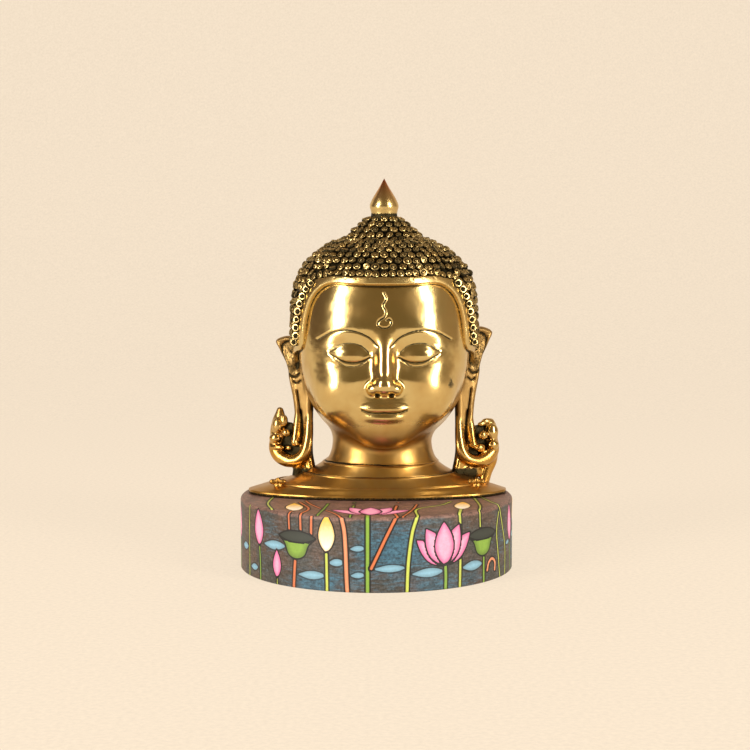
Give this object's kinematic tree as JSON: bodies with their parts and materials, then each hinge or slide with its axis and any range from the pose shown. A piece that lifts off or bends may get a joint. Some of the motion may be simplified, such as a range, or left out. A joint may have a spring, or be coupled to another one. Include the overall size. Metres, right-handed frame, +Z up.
{
  "type": "buddha head bust",
  "caption": "Cast brass Buddha bust with curled hair, bud finial and long pierced ears, standing on a round wooden stand painted with a lotus pond.",
  "frame": {"origin": "centre of the wooden stand's underside", "axes": "+Z up towards the finial, face looks along -Y, +X to the viewer's right"},
  "size_m": [0.16, 0.16, 0.2273],
  "materials": {
    "cast_brass": "polished, dark patina in the recesses",
    "painted_wood": "dark stained wood with a painted lotus pond, satin"
  },
  "bodies": {
    "root": {"brass_bust": "cast_brass", "painted_stand": "painted_wood"}
  },
  "joints": []
}
